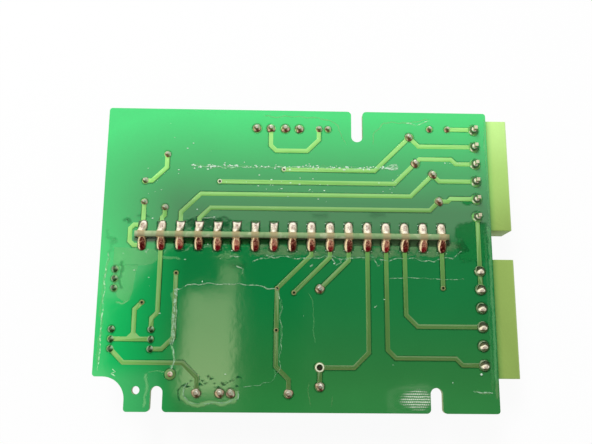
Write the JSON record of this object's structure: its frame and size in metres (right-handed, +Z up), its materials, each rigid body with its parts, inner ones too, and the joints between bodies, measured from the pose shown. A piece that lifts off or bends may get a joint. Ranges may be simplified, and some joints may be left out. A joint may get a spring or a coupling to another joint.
{
  "type": "control board",
  "caption": "Printed circuit control board with edge slots, an upright daughterboard soldered through it, and plug-in headers on one edge.",
  "frame": {"origin": "under the middle of the whole part's outline, on the plane it rests on", "axes": "+Z up out of the solder face, +X towards the plug-in headers, +Y along the short side of the main board towards the deep edge slot"},
  "size_m": [0.1124, 0.0824, 0.0206],
  "materials": {
    "laminate": "glossy green solder mask over glass-epoxy laminate",
    "masked_copper": "copper track under glossy green solder mask",
    "header_plastic": "satin moulded plastic",
    "pin_metal": "bright tin plate",
    "daughter_laminate": "bare glass-epoxy laminate",
    "contact_plating": "tinned copper",
    "upper_solder": "bright solder",
    "lower_solder": "bright solder",
    "pin_solder": "bright solder",
    "lead_solder": "bright solder",
    "lead_wire": "tinned wire",
    "black_plastic": "moulded case",
    "blue_sleeve": "printed sleeve",
    "resistor_coat": "lacquer",
    "film_coat": "dipped coating",
    "suppressor_coat": "dipped coating",
    "ceramic_coat": "dipped coating",
    "gold_pin": "plated",
    "shunt_plastic": "moulded",
    "cell_steel": "nickel plate",
    "crystal_can": "drawn can",
    "chip_black": "moulded",
    "chip_tan": "sintered"
  },
  "bodies": {
    "root": {"main_board": "laminate", "solder_side_tracks": "masked_copper", "component_side_tracks": "masked_copper", "upper_header_housing": "header_plastic", "lower_header_housing": "header_plastic", "upper_header_pins": "pin_metal", "lower_header_pins": "pin_metal", "daughterboard": "daughter_laminate", "daughterboard_contacts": "contact_plating", "upper_contact_solder": "upper_solder", "lower_contact_solder": "lower_solder", "header_pin_solder": "pin_solder", "lead_solder": "lead_solder", "rectifier": "black_plastic", "rectifier_leads": "lead_wire", "filter_capacitor": "blue_sleeve", "filter_capacitor_leads": "lead_wire", "resistor": "resistor_coat", "resistor_leads": "lead_wire", "film_capacitor": "film_coat", "film_capacitor_leads": "lead_wire", "surge_suppressors": "suppressor_coat", "suppressor_leads": "lead_wire", "disc_capacitor": "ceramic_coat", "disc_capacitor_leads": "lead_wire", "jumper_strips": "black_plastic", "jumper_pins": "gold_pin", "jumper_shunts": "shunt_plastic", "relay": "black_plastic", "relay_leads": "lead_wire", "cell_holder": "black_plastic", "coin_cell": "cell_steel", "cell_contacts": "cell_steel", "controller_chip": "chip_black", "driver_chips": "chip_black", "chip_leads": "lead_wire", "crystal": "crystal_can", "crystal_leads": "lead_wire", "chip_resistors": "chip_black", "chip_capacitors": "chip_tan"}
  },
  "joints": []
}
